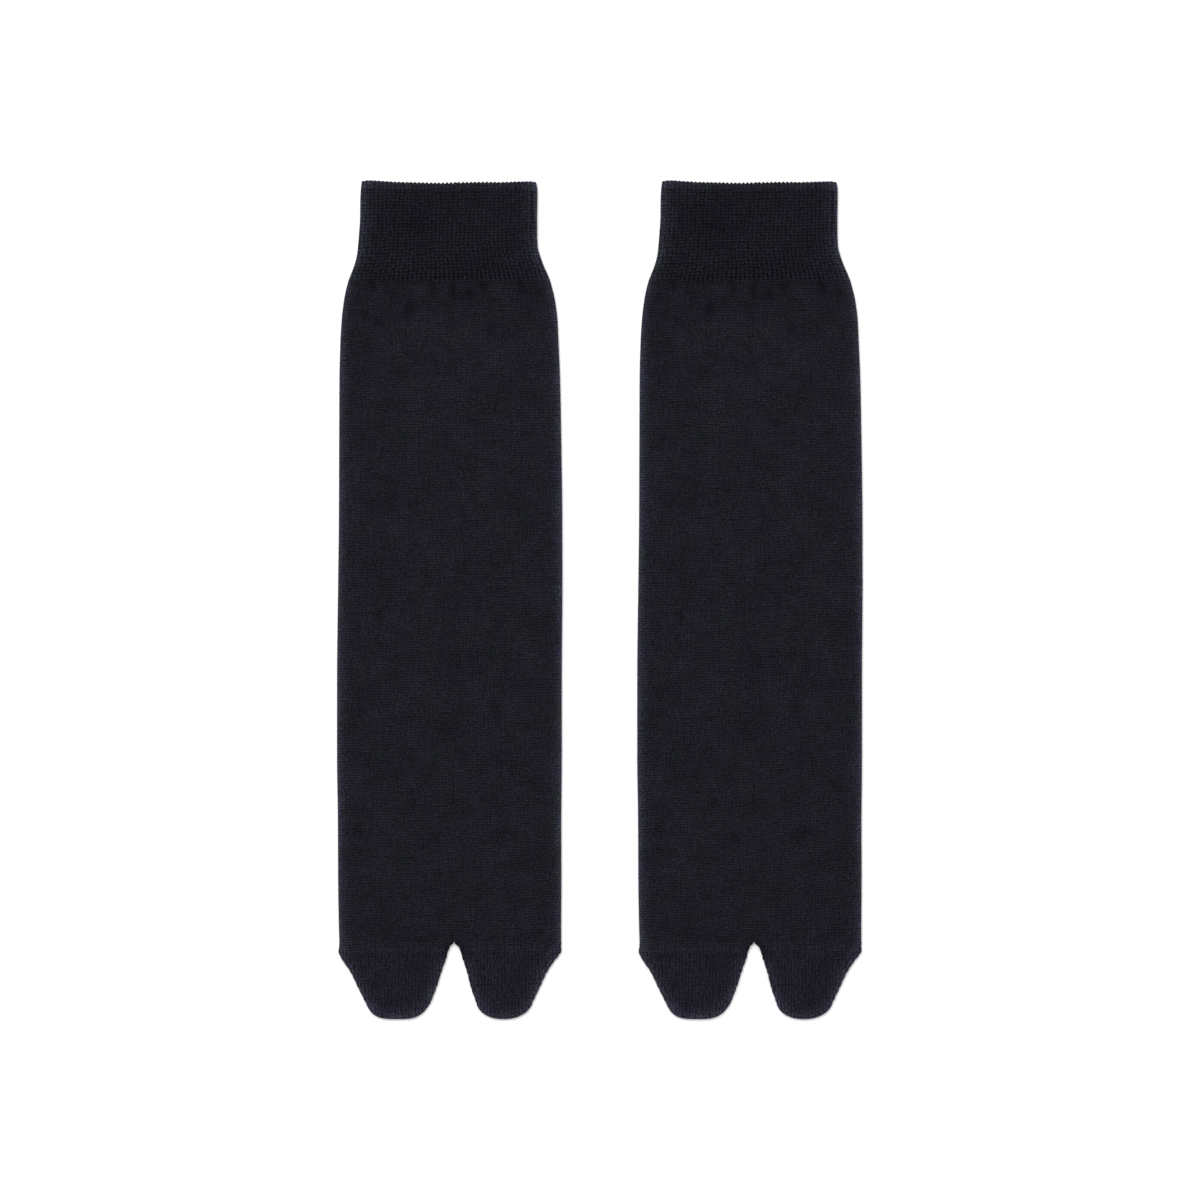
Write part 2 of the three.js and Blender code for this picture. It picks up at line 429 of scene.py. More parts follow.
class Plan:
    """One shell's rows down the sock, with their folds, half heights and walls."""

    def __init__(self, down):
        ribbed = ramp(down, CUFF_JOIN, RIB_END)
        self.down = down
        self.wall = blend(PLAIN_WALL, RIB_WALL, ribbed)
        self.half = self.wall + PANEL_GAP / 2
        self.left, self.right = self.folds(down)

    def folds(self, down):
        return folds_at(TUBE_OUTLINE, down)

    def to_fold(self, x, down):
        """The distance from points of the plan to the nearest fold."""
        left, right = self.folds(down)
        return np.minimum(x - left, right - x)

    def slack(self, x, down):
        """0 at a fold and 1 where the panel is free to sag."""
        return ramp(self.to_fold(x, down), *SAG_FREEDOM)

    def freedom(self, x, down):
        """0 at a fold and 1 where the panel is free to dip."""
        return ramp(self.to_fold(x, down), *DIP_FREEDOM)

    def share(self, x, down, inset):
        """0 at a fold and 1 where the panel is flat, for a surface that lies inset in the wall."""
        return (self.to_fold(x, down) - inset) / (FOLD_REACH - inset)

    def rings(self, columns, inner=False):
        """Rings round the shell, from the left fold along the front and home along the back."""
        rows = zip(self.down, self.left, self.right, self.half, self.wall)
        return np.array([self.ring(*row, columns, inner) for row in rows])

    def ring(self, down, left, right, half, wall, columns, inner):
        inset = wall if inner else 0
        count = columns // 2
        width = max(right - left - 2 * inset, LEAST_WIDTH)
        stations = panel_stations(width, FOLD_REACH - inset, half - inset, count)
        x = (left + right - width) / 2 + stations
        lift = np.maximum((half - inset) * fold_height(self.share(x, down, inset)), LEAST_LIFT)
        free = self.freedom(x, down)
        front_dip = spots(FRONT_DIPS, x, down) + spots(FRONT_WAVES, x, down)
        back_dip = spots(BACK_DIPS, x, down) + np.maximum(spots(BACK_WAVES, x, down), 0)
        front = half + lift - free * (PANEL_SAG * self.slack(x, down) + front_dip)
        back = half - lift + free * BACK_SHARE * np.maximum(back_dip, 0)
        front[[0, count]] = half
        ring_x = np.concatenate([x, x[-2:0:-1]])
        ring_z = np.concatenate([front, back[-2:0:-1]])
        return np.column_stack([ring_x, np.full(columns, down), ring_z])


# The toe pockets' folds, in millimetres.
_, MOUTH_LEFT, MOUTH_RIGHT = TUBE_OUTLINE[-1]  # the tube's mouth, where the pockets start
SERRATION = [(2.75, 0.075), (1.85, 0.05)]  # uneven edges: (length of a wave down the edge, height)
SERRATION_PHASES = (0, 1.7)  # on the left and on the right
UNEVEN_FROM = 306.0  # the edges are fully uneven from here
SPLIT_ROUND = 311.0  # from here the fold beside the split is as round as the others
LOBES_APART = 313.0  # from here each pocket sags by itself
SPLIT_FREEDOM = (0.2, 1.5)  # DIP_FREEDOM beside the split, with its end as a share of the reach
SIDE_POINTS, TIP_POINTS, TIP_CROWDING = 80, 49, 2.5  # of a fold's line. They crowd at the tip.


def serration(down, phase):
    """How far the uneven stitches along an edge stand out from it."""
    return sum(height * np.cos(2 * np.pi * down / wave + phase) for wave, height in SERRATION)


class PocketPlan(Plan):
    """A toe pocket, whose fold runs on round its tip."""

    def __init__(self, down, outline, tip, crotch_side):
        self.outline = outline
        self.tip = tip
        self.crotch_side = crotch_side  # 1 where the toe split is on its right, -1 on its left
        _, base_left, base_right = outline[-1]
        self.tip_centre = (base_left + base_right) / 2
        self.tip_half = (base_right - base_left) / 2
        side = np.linspace(TOE_JOIN, TIP_START, SIDE_POINTS)
        share = 1 - (1 - np.linspace(0, 1, TIP_POINTS + 1)[1:]) ** TIP_CROWDING
        edge_down = np.concatenate([side, TIP_START + TIP_LENGTH * share])
        lines = [np.column_stack([fold, edge_down]) for fold in self.folds(edge_down)]
        self.outer_line, self.crotch_line = lines if crotch_side > 0 else lines[::-1]
        super().__init__(down)

    def folds(self, down):
        left, right = folds_at(self.outline, np.minimum(down, TIP_START))
        share = np.clip((down - TIP_START) / TIP_LENGTH, 0, 1)
        narrow_left, narrow_right = (
            (1 - share**power) ** (1 / power) * (1 - taper * share) for power, taper in self.tip
        )
        in_tip = down > TIP_START
        left = np.where(in_tip, self.tip_centre - self.tip_half * narrow_left, left)
        right = np.where(in_tip, self.tip_centre + self.tip_half * narrow_right, right)
        strength = ramp(down, TOE_JOIN, UNEVEN_FROM) * (1 - share)
        left_teeth, right_teeth = (strength * serration(down, phase) for phase in SERRATION_PHASES)
        return left - left_teeth, right + right_teeth

    def to_outer(self, x, down):
        """The distance to the slanted outer fold."""
        return gap_to(self.outer_line, x, down)

    def to_crotch(self, x, down):
        """The distance to the fold beside the toe split."""
        return gap_to(self.crotch_line, x, down)

    def to_fold(self, x, down):
        return np.minimum(self.to_outer(x, down), self.to_crotch(x, down))

    def crotch_reach(self, down):
        """FOLD_REACH beside the toe split."""
        return blend(CROTCH_REACH, FOLD_REACH, ramp(down, TOE_JOIN, SPLIT_ROUND))

    def slack(self, x, down):
        """At its mouth the pocket sags as the tube does."""
        tube = ramp(np.minimum(x - MOUTH_LEFT, MOUTH_RIGHT - x), *SAG_FREEDOM)
        own = super().slack(x, down)
        return blend(tube, own, ramp(down, TOE_JOIN, LOBES_APART))

    def freedom(self, x, down):
        start, end = SPLIT_FREEDOM
        beside_split = ramp(self.to_crotch(x, down), start, end * self.crotch_reach(down))
        return np.minimum(ramp(self.to_outer(x, down), *DIP_FREEDOM), beside_split)

    def share(self, x, down, inset):
        outer = (self.to_outer(x, down) - inset) / (FOLD_REACH - inset)
        reach = max(self.crotch_reach(down) - inset, LEAST_REACH)
        beside_split = (self.to_crotch(x, down) - inset) / reach
        return np.minimum(outer, beside_split)


def outward(points):
    """The unit normals of a grid of rings."""
    around = np.roll(points, -1, axis=1) - np.roll(points, 1, axis=1)
    along = np.gradient(points, axis=0) * [1, -1, 1]
    normals = np.cross(along, around)
    length = np.linalg.norm(normals, axis=2, keepdims=True)
    return normals / np.maximum(length, 1e-9)


def carved(points, depth):
    """Rings moved inward by a depth, and not below the floor."""
    moved = points - outward(points) * np.broadcast_to(depth, points.shape[:2])[:, :, None]
    moved[..., 2] = np.maximum(moved[..., 2], 0)
    return moved


class Shell:
    """Rings that become one mesh, with the stitch coordinates and the tone of each point."""

    def __init__(self, course_height):
        self.course_height = course_height
        self.fields = {}
        self.rows = 0
        self.sharp_rows = []

    def add(self, points, wale, shade=0.8, across=0.5, along=0.5, grain=1.0, room=1.0):
        """Adds rings. wale is the stitch column at the left and at the right end of each face."""
        course = courses(points, self.course_height)
        values = dict(wale_from=wale[0], wale_to=wale[1], course=course, room=room)
        values.update(shade=shade, across=across, along=along, grain=grain)
        self.fields.setdefault("points", []).append(points)
        for name, value in values.items():
            full = np.broadcast_to(value, points.shape[:2])
            self.fields.setdefault(name, []).append(full)
        self.rows += len(points)

    def turn_sharp(self):
        """The last ring is the sharp edge of a flat rim, and the next one is its other edge."""
        self.sharp_rows += [self.rows - 1, self.rows]


# The unrolled map.
MAP_MARGIN = 0.01
INNER_ROOM = 0.2  # the share of its length that a hidden surface gets there
LEAST_ROW = 0.05  # the least length that a row of faces counts for, in millimetres


def unrolled(grid, closed):
    """Where each ring lies in the unrolled map, from 0 to 1, by the distance between rings."""
    points = grid["points"]
    following = np.roll(points, -1, axis=0) if closed else points[1:]
    gaps = np.linalg.norm(following - points[: len(following)], axis=2).mean(axis=1)
    gaps = gaps * grid["room"][: len(following), 0]
    run = np.concatenate([[0], np.cumsum(np.maximum(gaps, LEAST_ROW))])
    return MAP_MARGIN + (1 - 2 * MAP_MARGIN) * run / run[-1]


def quads(grid, closed):
    """Corner indices, map coordinates and stitch coordinates of the faces between rings."""
    rows, columns = grid["points"].shape[:2]
    row_starts = np.arange(rows if closed else rows - 1)
    row, column = np.meshgrid(row_starts, np.arange(columns), indexing="ij")
    row, column = row.reshape(-1, 1), column.reshape(-1, 1)
    corner_row = row + [0, 1, 1, 0]
    corner_column = column + [0, 0, 1, 1]
    ring, spoke = corner_row % rows, corner_column % columns
    bake = np.stack([corner_column / columns, unrolled(grid, closed)[corner_row]], axis=2)
    wale = np.where(
        corner_column == column, grid["wale_from"][ring, column], grid["wale_to"][ring, column]
    )
    knit = np.stack([wale, grid["course"][ring, spoke]], axis=2)
    return ring * columns + spoke, bake, knit


def cap(grid, edge, pole, at_start):
    """The same for the fan of triangles that closes a tip, between its last ring and its pole."""
    rows, columns = grid["points"].shape[:2]
    column = np.arange(columns)
    order = [column, column + 1] if at_start else [column + 1, column]
    ring = [edge * columns + corner % columns for corner in order]
    corners = np.stack([*ring, np.full(columns, pole)], axis=1)
    pole_v = 0.0 if at_start else 1.0
    edge_v = MAP_MARGIN if at_start else 1 - MAP_MARGIN
    u = np.stack([*(corner / columns for corner in order), (column + 0.5) / columns], axis=1)
    v = np.broadcast_to([edge_v, edge_v, pole_v], u.shape)
    wale = [grid["wale_from"][edge], grid["wale_to"][edge]]
    if not at_start:
        wale = wale[::-1]
    wale = np.stack([*wale, grid["wale_from"][edge]], axis=1)
    course = np.stack([grid["course"][edge, corner % columns] for corner in (*order, column)], axis=1)
    return corners, np.stack([u, v], axis=2), np.stack([wale, course], axis=2)


def shell_mesh(name, shell, closed, origin):
    """The mesh of a shell: a ring of rings if closed, and else a bag with a pole at each end."""
    grid = {key: np.concatenate(parts) for key, parts in shell.fields.items()}
    rows, columns = grid["points"].shape[:2]
    vertices = grid["points"].reshape(-1, 3)
    tones = {key: grid[key].ravel() for key in ("shade", "across", "along", "grain")}
    groups = [quads(grid, closed)]
    if not closed:
        for edge in (0, rows - 1):
            groups.append(cap(grid, edge, len(vertices), edge == 0))
            vertices = np.vstack([vertices, grid["points"][edge].mean(axis=0)])
            tones = {key: np.append(tone, grid[key][edge].mean()) for key, tone in tones.items()}
    x, down, z = vertices.T
    placed = np.column_stack([origin[0] + x, origin[1] - down, z])
    faces = [face for corners, _, _ in groups for face in corners.tolist()]
    mesh = bpy.data.meshes.new(name)
    mesh.from_pydata((placed * MM).tolist(), [], faces)
    mesh.shade_smooth()
    for key, index in (("OFBake", 1), ("knit", 2)):
        layer = mesh.uv_layers.new(name=key)
        coordinates = np.concatenate([group[index].reshape(-1, 2) for group in groups])
        layer.uv.foreach_set("vector", coordinates.astype(np.float32).ravel())
    for key, tone in tones.items():
        attribute = mesh.attributes.new(key, "FLOAT", "POINT")
        attribute.data.foreach_set("value", tone.astype(np.float32))
    sharpen(mesh, shell.sharp_rows, columns)
    mesh.validate()
    return add_object(name, mesh)


def add_object(name, data):
    """A new object in the scene."""
    thing = bpy.data.objects.new(name, data)
    bpy.context.scene.collection.objects.link(thing)
    return thing


def sharpen(mesh, sharp_rows, columns):
    """Marks the edges that run along the rings of flat rims as sharp."""
    ends = np.empty(2 * len(mesh.edges), dtype=np.int32)
    mesh.edges.foreach_get("vertices", ends)
    first, second = ends.reshape(-1, 2).T // columns
    sharp = (first == second) & np.isin(first, sharp_rows)
    attribute = mesh.attributes.new("sharp_edge", "BOOLEAN", "EDGE")
    attribute.data.foreach_set("value", sharp)


def tube_wales(count):
    """The stitch columns at both ends of each face round a tube with count of them."""
    column = np.arange(TUBE_COLUMNS)
    return column * count / TUBE_COLUMNS, (column + 1) * count / TUBE_COLUMNS


def valley(wale):
    """1 in the middle of each valley between ribs or stitch columns, and 0 on them."""
    return 0.5 + 0.5 * np.cos(2 * np.pi * wale)


def courses(points, height):
    """The row of stitches at each point. The cuff's rows and the plain knit's meet at the join."""
    x, down = points[..., 0], points[..., 1]
    return (down + smooth_through(COURSE_SLOPE, down) * x - CUFF_JOIN) / height


# Cuff details, in millimetres.
RIM_START, INNER_START = 0.3, 0.5  # where the rounded edge's wall is full, outside and inside
RIM_BULGE = 0.6  # how far the rounded edge stands up from there
CORNER = 1.2  # the rounding of the edge's corners
SAG_END = 14.0  # the edge's sag has died out here
TOOTH, TOOTH_FADE = 0.5, (2.6, 1.2)  # how far the edge dips between ribs, and where that fades in
JOIN_FADE = 1.5  # how far from the join the ribs and the columns stand out fully
WELT_HEIGHT, WELT_FADE = 3.3, 0.5
DOT_ROW = (3.6, 0.5)  # dark dots between the ribs, below the welt: (down, half height)
# The painted shade in the valleys between the ribs grows between these.
LOW_RIBS = (27, 35)  # the valleys between the ribs turn darker between these
LAST_COURSE, LAST_GRAIN = 38.0, 0.5  # where the cuff's grain starts to fade, and what is left
DASH_ROW = 38.9  # the row of dark slits between the ribs, where the plain knit starts
DASH_ROW_HALF = 1.5
DASH_HALF = 1.35
DASH_SPREAD = 0.02  # how much longer a slit is for each millimetre to the right
DASH_FADE = (0.4, 0.5)  # how far its ends fade, beyond it and within it
DASH_DEPTH, SLIT_FADE = 0.45, 1.2  # a slit's depth, and how far from the join it is full
DASH_LEFT, DASH_RIGHT = (-36, -24), (37, 24)  # x where the slits fade in from each side
# Where the slits are darker than chance makes them: (x, half width).
DARK_DASHES = [(5, 9), (-21.6, 1), (-15.7, 1), (-6.6, 1), (7.7, 1), (23.7, 1)]
# Chance ranges, with one draw for each valley between ribs.
RIB_CHANCE = (0.75, 1.25)  # for how deep a valley and its dip in the edge are
DASH_STARTS = (-0.5, 0.5)
DASH_ENDS = (-0.9, 0.7)
DASH_STRENGTHS = (0.15, 1.2)
DASH_SEED, EDGE_SEED, RIB_SEED = 11, 12, 13

# The cuff's tone, and how much its parts are darker or lighter than that.
CUFF_TONE = 1.22
WELT_LIGHT = 0.08
# Painted shade in the valleys between the ribs.
VALLEY_SHADE = 0.15  # in the welt and low in the cuff
DOT_DARK = 0.3
# Painted shade in the slits, which goes on into the plain knit below the join.
SLIT_SHADE = 0.9
DARKER_DASH = 0.4  # how much stronger the slits at DARK_DASHES are
DASH_ROW_LIGHT = 0.15  # on the ribs between the slits
# How much the columns and the rows of stitches show.
RIB_ACROSS, RIB_ALONG = 0.78, 0.76
WELT_ACROSS, WELT_ALONG = 0.62, 0.32
PLAIN_ACROSS, PLAIN_ALONG = 0.36, 0.62
TOE_ACROSS, TOE_ALONG = 0.8, 0.42


RIB_VALLEY = valley(tube_wales(RIBS)[0])  # for each mesh column round the cuff


def each_rib(rng, low, high):
    """A chance value for the valley that each mesh column is nearest to."""
    nearest = np.round(tube_wales(RIBS)[0]).astype(int) % RIBS
    return rng.uniform(low, high, RIBS)[nearest]


def dashes(x, down):
    """Where the dark slits between the ribs are, from 0 to 1."""
    rng = np.random.default_rng(DASH_SEED)
    level = down + smooth_through(COURSE_SLOPE, down) * x - DASH_ROW
    beyond, within = DASH_FADE
    start = each_rib(rng, *DASH_STARTS) - DASH_HALF
    end = each_rib(rng, *DASH_ENDS) + DASH_HALF + DASH_SPREAD * np.maximum(x, 0)
    window = ramp(level, start - beyond, start + within) * ramp(level, end + beyond, end - within)
    strength = each_rib(rng, *DASH_STRENGTHS)
    for middle, half in DARK_DASHES:
        strength = strength + DARKER_DASH * hump(x, middle, half)
    sides = ramp(x, *DASH_LEFT) * ramp(x, *DASH_RIGHT)
    return np.minimum(window * strength * sides, 1) * RIB_VALLEY**3


def edge_drop(points):
    """How far down the cuff's edge is drawn, by its sag and between its ribs."""
    rng = np.random.default_rng(EDGE_SEED)
    x, down = points[..., 0], points[..., 1]
    left, right = folds_at(TUBE_OUTLINE, 0)
    share = np.clip((2 * x - left - right) / (right - left), -1, 1)
    sag = smooth_through(EDGE_SAG, share) * ramp(down, SAG_END, 0)
    between_crowns = 1 - (1 - RIB_VALLEY) ** 1.5
    teeth = each_rib(rng, *RIB_CHANCE) * TOOTH * between_crowns * ramp(down, *TOOTH_FADE)
    return sag + teeth


def cuff_shade(points, to_fold, in_welt, dash):
    """The tone of the cuff's outer surface, with its painted shade and painted sheen."""
    x, down = points[..., 0], points[..., 1]
    # Painted shade in the valleys between the ribs, in the welt and low in the cuff.
    dark = VALLEY_SHADE * RIB_VALLEY**2
    dash_row = (1 - RIB_VALLEY**2) * hump(down + JOIN_SLOPE * x, DASH_ROW, DASH_ROW_HALF)
    shade = CUFF_TONE + (WELT_LIGHT - dark) * in_welt - DOT_DARK * RIB_VALLEY * hump(down, *DOT_ROW)
    # Painted shade in the slits.
    shade = shade * (1 - dark * ramp(down, *LOW_RIBS)) * (1 - SLIT_SHADE * dash)
    shade = shade * (1 + DASH_ROW_LIGHT * dash_row)
    # Painted shade in the dips and painted light on the swellings.
    shade = shade * (1 - DIP_SHADE_AND_LIGHT * dips(points))
    # Partly fuzz and partly painted sheen near the folds and along the cuff's edge.
    return shade * (1 + falloff(to_fold, CUFF_FUZZ_AND_SHEEN) + falloff(down, CUFF_EDGE_FUZZ_AND_SHEEN))


def cuff_shell():
    plan = Plan(spaced(RIM_START, CUFF_ROWS))
    outer = plan.rings(TUBE_COLUMNS)
    x, down = outer[..., 0], outer[..., 1]
    to_fold = plan.to_fold(x, down)
    in_welt = ramp(down, WELT_HEIGHT + WELT_FADE, WELT_HEIGHT - WELT_FADE)
    dash = dashes(x, down)
    shade = cuff_shade(outer, to_fold, in_welt, dash)
    rib_depth = RIB_DEPTH * each_rib(np.random.default_rng(RIB_SEED), *RIB_CHANCE)
    valleys = rib_depth * RIB_VALLEY**2 * ramp(down, CUFF_JOIN, CUFF_JOIN - JOIN_FADE)
    slits = DASH_DEPTH * dash * ramp(down, CUFF_JOIN, CUFF_JOIN - SLIT_FADE)
    outer = carved(outer, valleys + slits)
    inner = Plan(spaced(INNER_START, CUFF_INNER_ROWS)).rings(TUBE_COLUMNS, inner=True)
    for surface in (outer, inner):
        surface[..., 1] += edge_drop(surface)

    shell = Shell(RIB_COURSE)
    wale = tube_wales(RIBS)
    across = blend(RIB_ACROSS, WELT_ACROSS, in_welt)
    along = blend(RIB_ALONG, WELT_ALONG, in_welt)
    grain = blend(1, LAST_GRAIN, ramp(down, LAST_COURSE, CUFF_JOIN))
    shell.add(outer, wale, shade, across, along, grain)
    shell.turn_sharp()
    shell.add(inner[::-1], wale, room=INNER_ROOM)
    edge = rounded_edge(inner[0], outer[0], to_fold[0])
    shell.add(edge, wale, shade[0], across[0], along[0])
    return shell


def rounded_edge(inner_ring, outer_ring, to_fold, steps=4):
    """Rings that close the cuff's edge from inside to outside, rounded up by the rim's bulge."""
    bulge = RIM_BULGE * fold_height(to_fold / CORNER)
    middle = (inner_ring + outer_ring) / 2
    arm = (inner_ring - outer_ring) / 2
    rings = []
    for turn in np.linspace(0, np.pi, steps + 2)[1:-1]:
        ring = middle + arm * np.cos(turn)
        ring[:, 1] -= bulge * np.sin(turn)
        rings.append(ring)
    return np.array(rings)


# How much darker the plain knit is below the cuff: (where it ends, how much).
UNDER_CUFF = [(66, 0.15), (43.5, 0.1)]


def leg_shell():
    plan = Plan(spaced(CUFF_JOIN, LEG_ROWS))
    outer = plan.rings(TUBE_COLUMNS)
    x, down = outer[..., 0], outer[..., 1]
    wale = tube_wales(WALES)
    shade = 1 - sum(dark * ramp(down, end, CUFF_JOIN) for end, dark in UNDER_CUFF)
    # Painted shade of the slits, carried on below the join.
    shade = shade * (1 - SLIT_SHADE * dashes(x, down))
    # Painted shade in the dips and painted light on the swellings, then partly fuzz and partly
    # painted sheen near the folds.
    shade = shade * (1 - DIP_SHADE_AND_LIGHT * dips(outer)) * (1 + falloff(plan.to_fold(x, down), LEG_FUZZ_AND_SHEEN))
    full = ramp(down, CUFF_JOIN, CUFF_JOIN + JOIN_FADE)
    outer = carved(outer, WALE_DEPTH * valley(wale[0]) * full)
    inner = Plan(spaced(CUFF_JOIN, LEG_INNER_ROWS)).rings(TUBE_COLUMNS, inner=True)

    shell = Shell(PLAIN_COURSE)
    shell.add(outer, wale, shade, PLAIN_ACROSS, PLAIN_ALONG)
    shell.turn_sharp()
    shell.add(inner[::-1], wale, room=INNER_ROOM)
    shell.turn_sharp()
    return shell


# Toe details, in millimetres.
LINK_ROW = (307.2, 0.5)  # a proud row of stitches: (down, half width)
UNDER_LINK = (309.5, 0.8)  # the sunken row below it
LINK_HEIGHT = 0.045
LINK_FADE = (1.5, 5)  # how far from the split these rows fade in
GORE_LINE = (2.3, 0.5)  # stitches beside the slanted fold: (how far in, half width)
GORE_DEPTH = 0.14
GORE_STITCH, GORE_SWING = 1.3, 0.35  # their length, and how much their depth varies
GORE_TOP, GORE_END = (309, 311), (331, 326)  # where they fade in from each end
TIP_STITCH, TIP_STITCH_HEIGHT = 1.37, 0.05  # the width and height of those round the tip

# The toes' tone, and how much their parts are darker or lighter than that.
TOE_TONE = 1.08
SIDE_TONE = 0.022  # the toes pocket is lighter and the big-toe pocket is darker
TOE_LIGHTER = [(309.5, 314, 0.07), (318, 331, 0.01)]  # (start, end, how much)
# Painted shade where the seams sink in and painted light where stitches stand proud.
RELIEF_SHADE_AND_LIGHT = 2.8  # darker, for each millimetre that the seams sink in
# Beside the split: painted shade in its crevice at the top, then painted sheen along its folds.
SPLIT_EDGES = (308.3, 312)  # where the split's folds turn from dark to light
SPLIT_CREVICE_SHADE = (0.85, 0.9)  # (how much, reach)
SPLIT_LIGHT, SPLIT_LIGHTER = 0.62, (314, 325)  # the light's share at first, and where it grows
TOE_EDGE_GRAIN = (0.5, 1.5)  # how much grainier the folds are: (how much, reach)


def pocket_wales(points):
    """The stitch columns at both ends of each face of a pocket, which carry on those of the tube."""
    run, _ = fold_profile(FOLD_REACH, PLAIN_WALL + PANEL_GAP / 2)
    extra = run[-1] - FOLD_REACH
    pitch = (MOUTH_RIGHT - MOUTH_LEFT + 2 * extra) / (WALES / 2)
    start = (points[..., 0] - MOUTH_LEFT + extra) / pitch
    end = np.roll(start, -1, axis=1)
    columns = points.shape[1]
    on_back = np.arange(columns) >= columns // 2
    return np.where(on_back, WALES - start, start), np.where(on_back, WALES - end, end)


def pocket_relief(plan, ear, x, down):
    """How far the pocket's seams and rows sink in. Proud stitches are negative."""
    beside = hump(plan.to_outer(x, down), *GORE_LINE)
    stitches = 1 - GORE_SWING + GORE_SWING * np.cos(2 * np.pi * down / GORE_STITCH)
    gore = GORE_DEPTH * beside * stitches * ramp(down, *GORE_TOP) * ramp(down, *GORE_END)
    rows = hump(down, *UNDER_LINK) - hump(down, *LINK_ROW)
    link = LINK_HEIGHT * rows * ramp(plan.to_crotch(x, down), *LINK_FADE)
    return gore + link + spots(ear, x, down)


def pocket_shade(plan, points, relief):
    """The tone of a pocket's outer surface, with its painted sheen and painted shade."""
    x, down = points[..., 0], points[..., 1]
    to_crotch = plan.to_crotch(x, down)
    gain, reach = TOE_FUZZ_AND_SHEEN
    below_split = ramp(down, *SPLIT_EDGES)
    split_share = below_split * blend(SPLIT_LIGHT, 1, ramp(down, *SPLIT_LIGHTER))
    split_light = split_share * hump(to_crotch, 0, reach)
    # Partly fuzz and partly painted sheen along the folds, beside the split too.
    light = gain * np.hypot(hump(plan.to_outer(x, down), 0, reach), split_light)
    # Painted shade in the crevice at the top of the split.
    crevice_shade = falloff(to_crotch, SPLIT_CREVICE_SHADE) * (1 - below_split)
    lighter = sum(much * ramp(down, start, end) for start, end, much in TOE_LIGHTER)
    base = TOE_TONE + SIDE_TONE * plan.crotch_side + lighter
    shade = base * (1 + light) * (1 - crevice_shade)
    # Painted shade in sunken seams and dips, painted light on proud stitches and swellings.
    return shade * (1 - RELIEF_SHADE_AND_LIGHT * relief) * (1 - DIP_SHADE_AND_LIGHT * dips(points))


def pocket_shell(outline, tip, crotch_side, ear):
    tip_shares = 1 - (1 - np.linspace(0, 1, TIP_ROWS + 2)[1:-1]) ** 2
    tip_down = TIP_START + TIP_LENGTH * tip_shares
    outer_down = np.concatenate([spaced(TOE_JOIN, POCKET_ROWS), tip_down])
    plan = PocketPlan(outer_down, outline, tip, crotch_side)
    outer = plan.rings(POCKET_COLUMNS)
    x, down = outer[..., 0], outer[..., 1]
    relief = pocket_relief(plan, ear, x, down)
    shade = pocket_shade(plan, outer, relief)
    wale = pocket_wales(outer)
    tip_stitches = np.cos(2 * np.pi * x / TIP_STITCH) * ramp(down, TIP_START, SOCK_LENGTH) ** 2
    lobed = ramp(down, TOE_JOIN, LOBES_APART)
    across = blend(PLAIN_ACROSS, TOE_ACROSS, lobed)
    along = blend(PLAIN_ALONG, TOE_ALONG, lobed)
    grain = 1 + lobed * falloff(plan.to_fold(x, down), TOE_EDGE_GRAIN)
    outer = carved(outer, WALE_DEPTH * valley(wale[0]) + relief)
    outer[..., 1] += TIP_STITCH_HEIGHT * tip_stitches

    inner_tip_down = TIP_START + (TIP_LENGTH - PLAIN_WALL) * tip_shares[::3]
    inner_down = np.concatenate([spaced(TOE_JOIN, POCKET_INNER_ROWS), inner_tip_down])
    inner_plan = PocketPlan(inner_down, outline, tip, crotch_side)
    inner = inner_plan.rings(POCKET_COLUMNS, inner=True)[::-1]
    shell = Shell(PLAIN_COURSE)
    shell.add(inner, pocket_wales(inner), room=INNER_ROOM)
    shell.turn_sharp()
    shell.add(outer, wale, shade, across, along, grain)
    return shell


